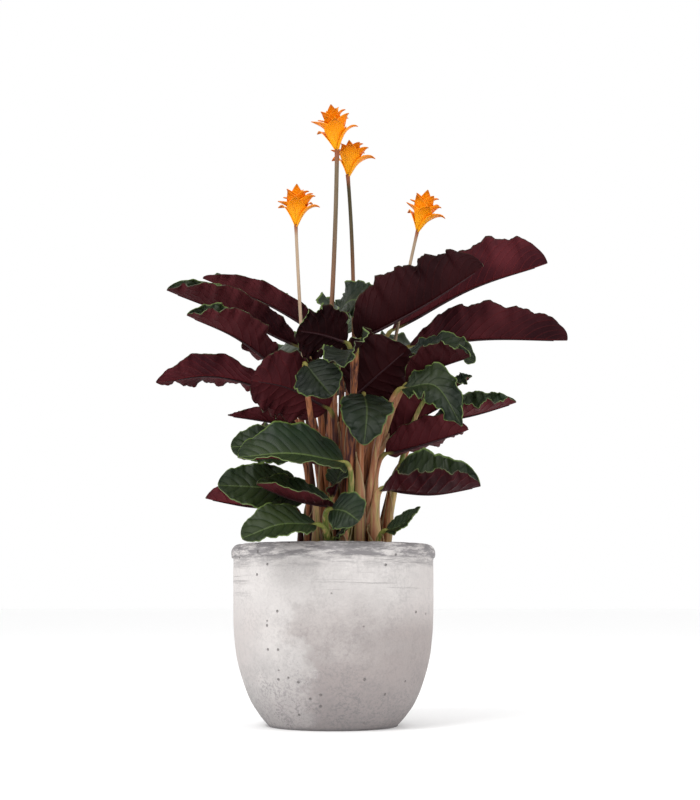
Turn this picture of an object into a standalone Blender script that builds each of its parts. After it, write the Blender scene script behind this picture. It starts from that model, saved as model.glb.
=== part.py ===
"""Eternal flame calathea in a round concrete-look pot. Metres, +Z up, origin under the centre of the pot's foot."""

import math

import bmesh
import bpy
from mathutils import Vector

MM = 0.001

# Pot: outer radius and height of each turn of its outline, from the foot to the lip.
POT_OUTLINE = (
    (52.5, 0.0), (59.5, 8.0), (67.5, 20.0), (74.5, 37.0), (80.0, 58.0), (82.3, 85.0), (83.0, 120.0),
    (82.8, 134.0), (84.3, 137.0), (84.3, 142.0), (81.5, 146.0), (77.5, 147.0), (74.5, 145.0),
)
POT_SEGMENTS = 40
POT_WALL = 9.0
POT_FLOOR = 11.0
SOIL_TOP = 124.0
SOIL_CLEARANCE = 0.35
SOIL_MOUND = 3.0

# The front view that the leaves are placed in: where the eye stands, how far it looks up and how large it sees.
EYE = Vector((13.7, -1200.0, 100.0))
EYE_TILT = math.radians(8.0)
FOCAL_PX = 1437.0
CENTRE_PX = (350.0, 400.0)

# Leaf blades are thin closed strips: 8 points round, on this many stations along the blade and the petiole.
BLADE_STATIONS = 8
PETIOLE_STATIONS = 5
BLADE_THICKNESS = 0.8
BLADE_BELLY = 0.5
COLLAR_RADIUS = 1.5
TIP_RADIUS = 0.5
RING_POINTS = 8
PULVINUS = 15.0

# Each leaf: name, root (x, y on the soil, mm), root radius (mm), midrib as (pixel x, pixel y, depth in mm) from the
# collar to the tip, half width (mm), how far the top faces the viewer at the collar and the tip (degrees), and how far the
# nearer and the further half are raised from flat (degrees).
LEAVES = (
    ("leaf_right_high_back", (7, -4), 3.0, ((392, 330, 42), (470, 288, 50), (547, 263, 42)), 36, (0, 0), (74, 50)),
    ("leaf_right_high_front", (13, -9), 3.0, ((358, 339, -6), (424, 304, -22), (483, 266, -40)), 38, (0, 0), (74, 50)),
    ("leaf_right_long", (16, -2), 3.0, ((410, 346, 22), (484, 338, 30), (567, 340, 34)), 30, (0, 4), (76, 60)),
    ("leaf_right_green_tip", (20, -8), 2.6, ((400, 355, -4), (440, 348, -14), (475, 362, -22)), 17, (30, 50), (20, 24)),
    ("leaf_right_under", (21, -15), 2.6, ((408, 383, -30), (436, 367, -50), (470, 356, -64)), 22, (-14, 0), (34, 58)),
    ("leaf_right_ruffled", (23, -22), 2.6, ((402, 388, -50), (436, 386, -64), (462, 426, -76)), 17, (50, 56), (10, 20)),
    ("leaf_right_crest", (42, -11), 2.2, ((432, 393, -19), (451, 387, -22), (472, 376, -26)), 9, (30, 30), (10, 40)),
    ("leaf_right_tricolour", (36, -1), 2.6, ((430, 420, -3), (472, 414, -11), (516, 402, -18)), 20, (34, 26), (46, 40)),
    ("leaf_right_rising", (33, -9), 4.8, ((384, 440, -10), (412, 421, -12), (454, 399, -6)), 24, (0, 0), (72, 50)),
    ("leaf_right_spoon", (33, -26), 2.6, ((387, 453, -28), (428, 442, -39), (468, 429, -46)), 22, (-30, -24), (34, 30)),
    ("leaf_right_low", (35, -34), 4.6, ((386, 488, -46), (432, 493, -60), (480, 486, -66)), 35, (36, 30), (60, 46)),
    ("leaf_right_sprout", (37, -42), 2.2, ((386, 530, -52), (402, 524, -62), (420, 507, -74)), 9, (50, 40), (10, 30)),
    ("leaf_left_high_back", (-2, 6), 3.0, ((326, 336, 36), (266, 302, 44), (203, 278, 46)), 17, (0, 14), (66, 56)),
    ("leaf_left_high_front", (-4, -1), 3.0, ((304, 348, 10), (236, 316, 2), (167, 290, -6)), 24, (0, 50), (68, 50)),
    ("leaf_left_drooping", (-12, -8), 2.8, ((284, 372, -17), (238, 337, -34), (187, 315, -46)), 22, (0, 56), (70, 46)),
    ("leaf_left_flat", (-12, 2), 2.8, ((278, 390, 14), (214, 375, 8), (156, 382, 0)), 22, (8, 0), (52, -16)),
    ("leaf_left_broad", (-3, -28), 3.4, ((328, 408, -30), (290, 388, -44), (252, 380, -56)), 30, (-52, -60), (14, 10)),
    ("leaf_left_curled", (-20, -2), 2.4, ((296, 424, 0), (262, 419, -8), (228, 415, -12)), 12, (0, 0), (56, 50)),
    ("leaf_front_large", (8, -42), 3.0, ((344, 462, -62), (292, 453, -82), (238, 457, -90)), 32, (54, 46), (36, 4)),
    ("leaf_left_behind", (-20, -27), 2.4, ((296, 452, -34), (262, 445, -42), (231, 447, -46)), 20, (50, 50), (0, 8)),
    ("leaf_left_glossy", (-15, -40), 3.0, ((306, 492, -50), (262, 487, -66), (218, 485, -74)), 24, (50, 44), (0, 10)),
    ("leaf_left_wine", (-28, -30), 2.4, ((290, 507, -26), (248, 505, -34), (206, 498, -42)), 29, (-30, -26), (20, 44)),
    ("leaf_front_folded", (9, -49), 2.6, ((334, 505, -65), (297, 499, -84), (257, 484, -98)), 23, (38, 30), (44, 20)),
    ("leaf_front_upright", (-1, -37), 2.4, ((331, 497, -43), (336, 482, -45), (343, 465, -43)), 16, (20, 20), (10, 10)),
    ("leaf_front_low", (-5, -51), 2.4, ((316, 524, -80), (280, 524, -96), (242, 538, -103)), 20, (50, 48), (24, 6)),
    ("leaf_front_round", (0, -45), 2.4, ((331, 509, -84), (345, 511, -93), (359, 521, -98)), 17, (56, 60), (0, 10)),
    ("leaf_front_sprig", (5, -53), 2.0, ((334, 538, -62), (341, 532, -66), (348, 527, -70)), 8, (30, 30), (0, 10)),
    ("leaf_centre_dark", (12, -22), 3.0, ((346, 342, -50), (322, 334, -62), (297, 330, -72)), 24, (-50, -44), (12, 0)),
    ("leaf_centre_tongue", (9, -28), 2.6, ((356, 348, -62), (350, 354, -84), (344, 367, -96)), 24, (-20, -10), (30, 30)),
    ("leaf_centre_glossy", (1, -7), 2.6, ((334, 322, 6), (350, 300, -4), (377, 306, -10)), 22, (46, 52), (0, 10)),
    ("leaf_centre_shade", (-5, -21), 2.6, ((306, 364, -62), (318, 379, -74), (332, 396, -82)), 19, (44, 50), (0, 10)),
    ("leaf_centre_point", (21, -32), 2.8, ((364, 394, -46), (367, 410, -67), (364, 445, -82)), 21, (4, 4), (6, 6)),
    ("leaf_centre_wine", (9, -15), 3.2, ((352, 398, -18), (378, 374, -28), (408, 348, -36)), 38, (-46, -36), (10, 10)),
    ("leaf_back_high", (6, 3), 2.8, ((344, 334, 60), (352, 314, 96), (358, 320, 134)), 36, (0, 0), (30, 30)),
    ("leaf_back_right", (14, 7), 2.8, ((384, 376, 60), (412, 352, 92), (436, 356, 124)), 34, (0, 0), (26, 36)),
    ("leaf_back_left", (1, 19), 2.8, ((300, 376, 56), (280, 352, 88), (258, 360, 116)), 34, (0, 0), (26, 36)),
    ("leaf_back_inner", (2, 12), 2.8, ((332, 396, 44), (354, 372, 58), (374, 366, 68)), 31, (20, 20), (10, 20)),
    ("leaf_back_low_right", (19, 17), 2.6, ((378, 440, 52), (396, 428, 82), (420, 438, 110)), 28, (0, 0), (20, 26)),
    ("leaf_back_low_left", (-6, 19), 2.6, ((312, 446, 50), (292, 436, 78), (270, 446, 104)), 28, (0, 0), (20, 26)),
    ("leaf_back_low", (10, 22), 2.6, ((350, 452, 56), (362, 444, 88), (372, 452, 116)), 28, (0, 0), (20, 26)),
)

# Each flower: name, root (x, y on the soil, mm), the stalk's path as (pixel x, pixel y, depth in mm) up to the head's foot,
# the head's top, and the head's widest radius (mm).
FLOWERS = (
    ("left", (-12, -14), ((300, 326, -16), (298, 276, -14), (296, 228, -12)), (297, 184, -12), 17.0),
    ("tall", (-18, 8), ((335, 300, 26), (336, 226, 14), (337, 153, 8)), (331, 105, 4), 19.0),
    ("middle", (12, 14), ((358, 296, 32), (353, 232, 28), (348, 178, 24)), (352, 140, 26), 18.0),
    ("right", (23, 1), ((391, 344, 7), (404, 292, 16), (417, 233, 22)), (428, 191, 22), 17.0),
)
STALK_RADIUS = 1.7
STALK_BASE_RADIUS = 2.2
STALK_SEAT_GAP = 0.3
HEAD_POINTS = 7
HEAD_NOTCH = 0.7
HEAD_TURN = math.radians(26.0)

# Each tier of a flower head: how far up the head it stands, and its radius as a share of the widest.
HEAD_PROFILE = ((0.14, 0.26), (0.3, 0.44), (0.42, 0.78), (0.52, 0.6), (0.64, 1.0), (0.76, 0.68), (0.86, 0.9), (1.0, 0.34))


def clear_scene():
    for found in list(bpy.data.objects):
        bpy.data.objects.remove(found)


def finish(name, colour, roughness):
    """A plain material of one colour."""
    material = bpy.data.materials.new(name)
    material.use_nodes = True
    shader = material.node_tree.nodes["Principled BSDF"]
    shader.inputs["Base Color"].default_value = (*colour, 1.0)
    shader.inputs["Roughness"].default_value = roughness
    shader.inputs["Metallic"].default_value = 0.0
    return material


def spot(px, py, depth):
    """The place, in mm, that the front view shows at this pixel, this far behind the pot's axis."""
    right = Vector((1.0, 0.0, 0.0))
    ahead = Vector((0.0, math.cos(EYE_TILT), math.sin(EYE_TILT)))
    up = Vector((0.0, -math.sin(EYE_TILT), math.cos(EYE_TILT)))
    ray = ahead + right * (px - CENTRE_PX[0]) / FOCAL_PX - up * (py - CENTRE_PX[1]) / FOCAL_PX
    return EYE + ray * (depth - EYE.y) / ray.y


def along(points, t):
    """A point on the smooth curve through the given points, with t from 0 to 1."""
    last = len(points) - 1
    step = min(int(t * last), last - 1)
    s = t * last - step
    a = points[step - 1] if step > 0 else points[0] * 2 - points[1]
    b, c = points[step], points[step + 1]
    d = points[step + 2] if step + 2 <= last else points[last] * 2 - points[last - 1]
    curve = b * 2 + (c - a) * s + (a * 2 - b * 5 + c * 4 - d) * s * s
    return (curve + (b * 3 - a - c * 3 + d) * s * s * s) / 2


def heading(points, t):
    low, high = max(t - 0.01, 0.0), min(t + 0.01, 1.0)
    return (along(points, high) - along(points, low)).normalized()


def blade_share(t):
    """The blade's half width at t, as a share of its widest: a round foot, widest past the middle, and a blunt tip."""
    if t < BLADE_BELLY:
        return math.sqrt(1.0 - (1.0 - t / BLADE_BELLY) ** 2)
    return (1.0 - ((t - BLADE_BELLY) / (1.0 - BLADE_BELLY)) ** 2.4) ** 0.7


def petiole_path(root, collar, direction):
    """Four points of the bent stalk that carries a blade: up from the soil, then over into the blade."""
    rise = collar - root
    start = root + Vector((rise.x * 0.08, rise.y * 0.08, rise.z * 0.45))
    end = collar - direction * min(PULVINUS, rise.z * 0.4)
    return [root, start, end, collar]


def bezier(path, t):
    a, b, c, d = path
    u = 1.0 - t
    return a * u ** 3 + b * 3 * u * u * t + c * 3 * u * t * t + d * t ** 3


def round_ring(centre, side, top, radius):
    turns = [2 * math.pi * i / RING_POINTS for i in range(RING_POINTS)]
    return [centre + (side * math.cos(a) + top * math.sin(a)) * radius for a in turns]


def grow(bm, ring, points):
    """Extrudes an open ring of vertices to the next ring's points and returns the new ring."""
    edges = [bm.edges.get((ring[i], ring[i - 1])) for i in range(len(ring))]
    made = bmesh.ops.extrude_edge_only(bm, edges=edges)["geom"]
    fresh = {v for v in made if isinstance(v, bmesh.types.BMVert)}
    moved = []
    for old, point in zip(ring, points, strict=True):
        new = next(e.other_vert(old) for e in old.link_edges if e.other_vert(old) in fresh)
        new.co = point
        moved.append(new)
    return moved


def loft(name, rings, material):
    """One closed skin through the given rings of points, in mm, capped at both ends."""
    bm = bmesh.new()
    first = [bm.verts.new(p) for p in rings[0]]
    for i in range(len(first)):
        bm.edges.new((first[i], first[i - 1]))
    ring = first
    for points in rings[1:]:
        ring = grow(bm, ring, points)
    bmesh.ops.contextual_create(bm, geom=first)
    bmesh.ops.contextual_create(bm, geom=ring)
    bmesh.ops.triangulate(bm, faces=bm.faces[:])
    bmesh.ops.recalc_face_normals(bm, faces=bm.faces[:])
    bmesh.ops.scale(bm, vec=(MM, MM, MM), verts=bm.verts[:])
    mesh = bpy.data.meshes.new(name)
    bm.to_mesh(mesh)
    bm.free()
    mesh.materials.append(material)
    made = bpy.data.objects.new(name, mesh)
    bpy.context.scene.collection.objects.link(made)
    return made


def blade_ring(centre, halves, half_width, thickness):
    """The eight points round a blade: nearer margin, over the top to the further margin, and back underneath."""
    (near, near_top), (far, far_top) = halves
    up = (near_top + far_top).normalized() * thickness / 2
    near_mid, far_mid = centre + near * half_width / 2, centre + far * half_width / 2
    return [
        centre + near * half_width,
        near_mid + near_top * thickness / 2,
        centre + up,
        far_mid + far_top * thickness / 2,
        centre + far * half_width,
        far_mid - far_top * thickness / 2,
        centre - up,
        near_mid - near_top * thickness / 2,
    ]


def blade_frame(direction, face, near_side):
    """The unit vectors across a flat blade towards the viewer's side, and out of its top."""
    level_top = (Vector((0.0, 0.0, 1.0)) - direction * direction.z).normalized()
    level_near = direction.cross(level_top) * near_side
    near = level_near * math.cos(face) - level_top * math.sin(face)
    top = level_top * math.cos(face) + level_near * math.sin(face)
    return near, top


def leaf(spec, material):
    """A blade and its petiole, grown as one piece: rings up the petiole, then along the midrib to the tip."""
    name, root_xy, root_radius, midrib, half_width, faces, raises = spec
    points = [spot(*p) for p in midrib]
    root = Vector((*root_xy, SOIL_TOP + STALK_SEAT_GAP))
    middle = heading(points, 0.5)
    near_side = 1.0 if middle.cross(Vector((0.0, 0.0, 1.0))).y < 0 else -1.0
    first = heading(points, 0.0)
    path = petiole_path(root, points[0], first)
    near, top = blade_frame(first, math.radians(faces[0]), near_side)
    level_near = Vector((near.x, near.y, 0.0)).normalized()
    rings = [round_ring(root, level_near, level_near.cross(Vector((0.0, 0.0, near_side))), root_radius)]
    for i in range(1, PETIOLE_STATIONS):
        t = i / PETIOLE_STATIONS
        way = (bezier(path, t + 0.02) - bezier(path, t - 0.02)).normalized()
        side = (near - way * near.dot(way)).normalized()
        over = side.cross(way) * near_side
        radius = COLLAR_RADIUS + (root_radius - COLLAR_RADIUS) * (1.0 - t ** 2.2)
        rings.append(round_ring(bezier(path, t), side, over, radius))
    for i in range(BLADE_STATIONS + 1):
        t = 0.5 - 0.5 * math.cos(math.pi * (i / BLADE_STATIONS) ** 0.95 * 0.955)
        way = heading(points, t)
        face = math.radians(faces[0] + (faces[1] - faces[0]) * t * t)
        near, top = blade_frame(way, face, near_side)
        up_near, up_far = (math.radians(a) * min(1.0, 0.35 + t * 3) for a in raises)
        halves = (
            (near * math.cos(up_near) + top * math.sin(up_near), top * math.cos(up_near) - near * math.sin(up_near)),
            (-near * math.cos(up_far) + top * math.sin(up_far), top * math.cos(up_far) + near * math.sin(up_far)),
        )
        width = max(half_width * blade_share(t), COLLAR_RADIUS * 1.2)
        thickness = BLADE_THICKNESS if i else COLLAR_RADIUS * 2
        rings.append(blade_ring(along(points, t), halves, width, thickness))
    rings.append(round_ring(points[-1], near, top, TIP_RADIUS))
    return loft(name, rings, material)


def stalk(name, root_xy, path, material):
    """A flower's slender stalk, from the soil to the foot of the head."""
    root = Vector((*root_xy, SOIL_TOP + STALK_SEAT_GAP))
    points = [root, *(spot(*p) for p in path)]
    side, over = Vector((1.0, 0.0, 0.0)), Vector((0.0, 1.0, 0.0))
    stations = 3 * (len(points) - 1)
    rings = []
    for i in range(stations + 1):
        t = i / stations
        radius = STALK_BASE_RADIUS + (STALK_RADIUS - STALK_BASE_RADIUS) * t
        rings.append(round_ring(along(points, t), side, over, radius))
    return loft(name, rings, material)


def head(name, foot, crown, widest, material):
    """A flower head's outer shape: a funnel of bracts, with a star-shaped section that turns a little at each tier."""
    axis = crown - foot
    length = axis.length
    axis = axis.normalized()
    side = (Vector((1.0, 0.0, 0.0)) - axis * axis.x).normalized()
    over = axis.cross(side)
    rings = [[foot + Vector((math.cos(a), math.sin(a), 0.0)) * STALK_RADIUS + Vector((0.0, 0.0, STALK_SEAT_GAP))
              for a in (math.pi * i / HEAD_POINTS for i in range(2 * HEAD_POINTS))]]
    for tier, (share, flare) in enumerate(HEAD_PROFILE):
        centre = foot + axis * length * share
        ring = []
        for i in range(2 * HEAD_POINTS):
            turn = math.pi * i / HEAD_POINTS + HEAD_TURN * tier
            reach = widest * flare * (1.0 if i % 2 == 0 else HEAD_NOTCH)
            ring.append(centre + (side * math.cos(turn) + over * math.sin(turn)) * reach)
        rings.append(ring)
    return loft(name, rings, material)


def turned(name, outline, segments, material):
    """A solid of revolution about the Z axis, from an outline of (radius, height) in mm, foot centre to top centre."""
    bm = bmesh.new()
    verts = [bm.verts.new((r, 0.0, z)) for r, z in outline]
    edges = [bm.edges.new(pair) for pair in zip(verts, verts[1:])]
    bmesh.ops.spin(
        bm, geom=verts + edges, cent=(0, 0, 0), axis=(0, 0, 1), angle=2 * math.pi, steps=segments, use_merge=True
    )
    bmesh.ops.remove_doubles(bm, verts=bm.verts[:], dist=0.01)
    bmesh.ops.recalc_face_normals(bm, faces=bm.faces[:])
    bmesh.ops.scale(bm, vec=(MM, MM, MM), verts=bm.verts[:])
    mesh = bpy.data.meshes.new(name)
    bm.to_mesh(mesh)
    bm.free()
    mesh.materials.append(material)
    mesh.shade_smooth()
    mesh.set_sharp_from_angle(angle=math.radians(40))
    made = bpy.data.objects.new(name, mesh)
    bpy.context.scene.collection.objects.link(made)
    return made


def wall_radius(height):
    """The pot's inner radius at this height."""
    for (r0, z0), (r1, z1) in zip(POT_OUTLINE, POT_OUTLINE[1:]):
        if z0 <= height <= z1:
            return r0 + (r1 - r0) * (height - z0) / (z1 - z0) - POT_WALL
    return POT_OUTLINE[0][0] - POT_WALL


def pot(material):
    """An open vessel with a flat foot, a bellied wall and a rounded lip."""
    heights = [z for r, z in POT_OUTLINE if POT_FLOOR < z <= 134.0]
    inside = [(wall_radius(z), z) for z in reversed(heights)]
    outline = [(0.0, 0.0), *POT_OUTLINE, *inside, (wall_radius(POT_FLOOR) - 2.0, POT_FLOOR), (0.0, POT_FLOOR)]
    return turned("pot", outline, POT_SEGMENTS, material)


def soil(material):
    """Potting soil that fills the pot, flat where the stems stand and sloping to the wall."""
    heights = [z for r, z in POT_OUTLINE if POT_FLOOR < z < SOIL_TOP]
    wall = [(wall_radius(z) - SOIL_CLEARANCE, z) for z in heights]
    foot = POT_FLOOR + SOIL_CLEARANCE
    edge = (wall_radius(SOIL_TOP - SOIL_MOUND) - SOIL_CLEARANCE, SOIL_TOP - SOIL_MOUND)
    outline = [(0.0, foot), (wall_radius(foot) - 2.5, foot), *wall, edge, (58.0, SOIL_TOP), (0.0, SOIL_TOP)]
    return turned("soil", outline, POT_SEGMENTS, material)


def main():
    clear_scene()
    pot(finish("pot", (0.62, 0.59, 0.58), 0.85))
    soil(finish("soil", (0.05, 0.035, 0.025), 0.95))
    blade = finish("leaf", (0.08, 0.03, 0.04), 0.5)
    stem = finish("flower_stalk", (0.30, 0.22, 0.12), 0.6)
    bract = finish("flower", (0.95, 0.42, 0.02), 0.5)
    for spec in LEAVES:
        leaf(spec, blade)
    for name, root, path, crown, widest in FLOWERS:
        stalk(f"flower_stalk_{name}", root, path, stem)
        head(f"flower_head_{name}", spot(*path[-1]), spot(*crown), widest, bract)


main()
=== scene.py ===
"""An eternal flame calathea in a concrete-look pot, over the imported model. Metres, +Z up, -Y to the front."""

import math
import random

import bmesh
import bpy
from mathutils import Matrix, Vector, noise


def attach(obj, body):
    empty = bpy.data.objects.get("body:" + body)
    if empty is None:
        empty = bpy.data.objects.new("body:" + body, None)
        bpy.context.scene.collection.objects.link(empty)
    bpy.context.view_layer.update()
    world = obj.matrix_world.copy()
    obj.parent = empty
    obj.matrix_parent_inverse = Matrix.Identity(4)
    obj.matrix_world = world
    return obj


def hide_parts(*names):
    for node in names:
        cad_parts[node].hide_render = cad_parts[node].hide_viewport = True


bl_info = {
    "name": "Potted Calathea",
    "version": (1, 0, 0),
    "blender": (4, 5, 0),
    "location": "View3D > Sidebar > Calathea",
    "description": "Builds a potted calathea's leaves, flowers, soil and pot, and a plain studio",
    "category": "Object",
}

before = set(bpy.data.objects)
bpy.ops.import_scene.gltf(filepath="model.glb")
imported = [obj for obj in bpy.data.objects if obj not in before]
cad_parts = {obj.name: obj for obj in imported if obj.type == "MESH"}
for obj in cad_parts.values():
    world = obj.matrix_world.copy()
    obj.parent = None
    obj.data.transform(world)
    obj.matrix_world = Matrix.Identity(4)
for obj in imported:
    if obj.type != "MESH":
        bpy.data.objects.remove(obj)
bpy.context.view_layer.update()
MM = 0.001

# Pot: outer radius and height (mm) of each turn of its outline, from the foot to the lip.
POT_OUTLINE = (
    (52.5, 0.0), (59.5, 8.0), (67.5, 20.0), (74.5, 37.0), (80.0, 58.0), (82.3, 85.0), (83.0, 120.0),
    (82.8, 134.0), (84.3, 137.0), (84.3, 142.0), (81.5, 146.0), (77.5, 147.0), (74.5, 145.0),
)
# Wall and floor thickness, where the lip begins, and the soil: its top, its gap to the wall, how far its
# middle stands above its edge, its rings and its segments, and how far out the crumbs lie (mm).
POT_WALL = 9.0
POT_FLOOR = 11.0
POT_LIP_FOOT = 134.0
SOIL_TOP = 124.0
SOIL_CLEARANCE = 0.35
SOIL_MOUND = 3.0
SOIL_STEPS = 44
SOIL_SEGMENTS = 120
CRUMBS_REACH = 68.0

# The front view that the leaves are placed in: where the eye stands (mm), how far it looks up, and how large
# and how high its picture is.
EYE = Vector((13.7, -1200.0, 100.0))
EYE_TILT = math.radians(8.0)
FOCAL_PX = 1437.0
CENTRE_PX = (350.0, 400.0)
FRAME_HEIGHT_PX = 800
SENSOR_MM = 36.0

# What the lights are turned towards (metres).
PLANT_MIDDLE = Vector((0.0, 0.0, 0.25))

# Each leaf: name, root (x and y on the soil, and its radius, mm), then the collar, the middle and the tip of
# its midrib, each as (pixel x, pixel y, depth in mm), half width (mm), and four angles in degrees: how far
# the top faces the viewer at the collar and at the tip, and how far the nearer and the further half rise.
LEAVES = (
    ("right_high_back", (7, -4, 3.0), (392, 330, 42), (470, 288, 50), (547, 263, 42), 36, 0, 0, 74, 50),
    ("right_high_front", (13, -9, 3.0), (358, 339, -6), (424, 304, -22), (483, 266, -40), 38, 0, 0, 74, 50),
    ("right_long", (16, -2, 3.0), (410, 346, 22), (484, 338, 30), (567, 340, 34), 30, 0, 4, 76, 60),
    ("right_green_tip", (20, -8, 2.6), (400, 355, -4), (440, 348, -14), (475, 362, -22), 17, 30, 50, 20, 24),
    ("right_under", (21, -15, 2.6), (408, 383, -30), (436, 367, -50), (470, 356, -64), 22, -14, 0, 34, 58),
    ("right_ruffled", (23, -22, 2.6), (402, 388, -50), (436, 386, -64), (462, 426, -76), 17, 50, 56, 10, 20),
    ("right_crest", (42, -11, 2.2), (432, 393, -19), (451, 387, -22), (472, 376, -26), 9, 30, 30, 10, 40),
    ("right_tricolour", (36, -1, 2.6), (430, 420, -3), (472, 414, -11), (516, 402, -18), 20, 34, 26, 46, 40),
    ("right_rising", (33, -9, 4.8), (384, 440, -10), (412, 421, -12), (454, 399, -6), 24, 0, 0, 72, 50),
    ("right_spoon", (33, -26, 2.6), (387, 453, -28), (428, 442, -39), (468, 429, -46), 22, -30, -24, 34, 30),
    ("right_low", (35, -34, 4.6), (386, 488, -46), (432, 493, -60), (480, 486, -66), 35, 36, 30, 60, 46),
    ("right_sprout", (37, -42, 2.2), (386, 530, -52), (402, 524, -62), (420, 507, -74), 9, 50, 40, 10, 30),
    ("left_high_back", (-2, 6, 3.0), (326, 336, 36), (266, 302, 44), (203, 278, 46), 17, 0, 14, 66, 56),
    ("left_high_front", (-4, -1, 3.0), (304, 348, 10), (236, 316, 2), (167, 290, -6), 24, 0, 50, 68, 50),
    ("left_drooping", (-12, -8, 2.8), (284, 372, -17), (238, 337, -34), (187, 315, -46), 22, 0, 56, 70, 46),
    ("left_flat", (-12, 2, 2.8), (278, 390, 14), (214, 375, 8), (156, 382, 0), 22, 8, 0, 52, -16),
    ("left_broad", (-3, -28, 3.4), (328, 408, -30), (290, 388, -44), (252, 380, -56), 30, -52, -60, 14, 10),
    ("left_curled", (-20, -2, 2.4), (296, 424, 0), (262, 419, -8), (228, 415, -12), 12, 0, 0, 56, 50),
    ("front_large", (8, -42, 3.0), (344, 462, -62), (292, 453, -82), (238, 457, -90), 32, 54, 46, 36, 4),
    ("left_behind", (-20, -27, 2.4), (296, 452, -34), (262, 445, -42), (231, 447, -46), 20, 50, 50, 0, 8),
    ("left_glossy", (-15, -40, 3.0), (306, 492, -50), (262, 487, -66), (218, 485, -74), 24, 50, 44, 0, 10),
    ("left_wine", (-28, -30, 2.4), (290, 507, -26), (248, 505, -34), (206, 498, -42), 29, -30, -26, 20, 44),
    ("front_folded", (9, -49, 2.6), (334, 505, -65), (297, 499, -84), (257, 484, -98), 23, 38, 30, 44, 20),
    ("front_upright", (-1, -37, 2.4), (331, 497, -43), (336, 482, -45), (343, 465, -43), 16, 20, 20, 10, 10),
    ("front_low", (-5, -51, 2.4), (316, 524, -80), (280, 524, -96), (242, 538, -103), 20, 50, 48, 24, 6),
    ("front_round", (0, -45, 2.4), (331, 509, -84), (345, 511, -93), (359, 521, -98), 17, 56, 60, 0, 10),
    ("front_sprig", (5, -53, 2.0), (334, 538, -62), (341, 532, -66), (348, 527, -70), 8, 30, 30, 0, 10),
    ("centre_dark", (12, -22, 3.0), (346, 342, -50), (322, 334, -62), (297, 330, -72), 24, -50, -44, 12, 0),
    ("centre_tongue", (9, -28, 2.6), (356, 348, -62), (350, 354, -84), (344, 367, -96), 24, -20, -10, 30, 30),
    ("centre_glossy", (1, -7, 2.6), (334, 322, 6), (350, 300, -4), (377, 306, -10), 22, 46, 52, 0, 10),
    ("centre_shade", (-5, -21, 2.6), (306, 364, -62), (318, 379, -74), (332, 396, -82), 19, 44, 50, 0, 10),
    ("centre_point", (21, -32, 2.8), (364, 394, -46), (367, 410, -67), (364, 445, -82), 21, 4, 4, 6, 6),
    ("centre_wine", (9, -15, 3.2), (352, 398, -18), (378, 374, -28), (408, 348, -36), 38, -46, -36, 10, 10),
    ("back_high", (6, 3, 2.8), (344, 334, 60), (352, 314, 96), (358, 320, 134), 36, 0, 0, 30, 30),
    ("back_right", (14, 7, 2.8), (384, 376, 60), (412, 352, 92), (436, 356, 124), 34, 0, 0, 26, 36),
    ("back_left", (1, 19, 2.8), (300, 376, 56), (280, 352, 88), (258, 360, 116), 34, 0, 0, 26, 36),
    ("back_inner", (2, 12, 2.8), (332, 396, 44), (354, 372, 58), (374, 366, 68), 31, 20, 20, 10, 20),
    ("back_low_right", (19, 17, 2.6), (378, 440, 52), (396, 428, 82), (420, 438, 110), 28, 0, 0, 20, 26),
    ("back_low_left", (-6, 19, 2.6), (312, 446, 50), (292, 436, 78), (270, 446, 104), 28, 0, 0, 20, 26),
    ("back_low", (10, 22, 2.6), (350, 452, 56), (362, 444, 88), (372, 452, 116), 28, 0, 0, 20, 26),
)

# How a leaf departs from the usual: belly (over 1 is widest nearer the tip), roundness (lower is blunter),
# height of the waves along its margin (mm) and their number.
LEAF_SHAPES = {
    "right_high_back": (1.4, 0.42, 4.5, 5.2),
    "right_high_front": (0.82, 0.42, 4.5, 5.4),
    "right_long": (1.08, 0.40, 3.5, 5.5),
    "right_ruffled": (0.8, 0.8, 3.5, 4.0),
    "right_tricolour": (1.1, 0.55, 3.0, 4.5),
    "right_spoon": (1.0, 0.45, 2.5, 3.5),
    "right_low": (0.8, 0.40, 3.0, 4.5),
    "left_high_back": (0.85, 0.5, 5.0, 6.0),
    "left_high_front": (1.25, 0.55, 5.0, 6.5),
    "left_drooping": (1.25, 0.55, 5.0, 5.5),
    "left_flat": (1.1, 0.7, 2.6, 4.0),
    "left_broad": (1.0, 0.4, 4.0, 4.0),
    "left_curled": (0.75, 0.9, 2.0, 3.0),
    "front_large": (0.8, 0.42, 1.2, 3.2),
    "left_behind": (1.0, 0.45, 1.2, 3.0),
    "left_glossy": (1.0, 0.48, 1.2, 3.0),
    "left_wine": (1.0, 0.5, 2.0, 5.0),
    "front_folded": (1.0, 0.5, 1.2, 3.0),
    "front_low": (1.2, 0.42, 1.2, 3.0),
    "front_round": (1.0, 0.42, 0.8, 2.5),
    "centre_dark": (1.0, 0.5, 4.0, 4.0),
    "centre_tongue": (0.9, 0.6, 3.0, 3.0),
    "centre_point": (0.8, 0.6, 1.6, 3.5),
    "centre_shade": (1.0, 0.5, 1.6, 3.0),
    "right_sprout": (0.9, 0.6, 0.8, 3.0),
    "front_sprig": (1.0, 0.5, 0.8, 3.0),
    "front_upright": (1.0, 0.5, 1.0, 3.0),
}
USUAL_SHAPE = (1.15, 0.55, 3.0, 4.0)

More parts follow.
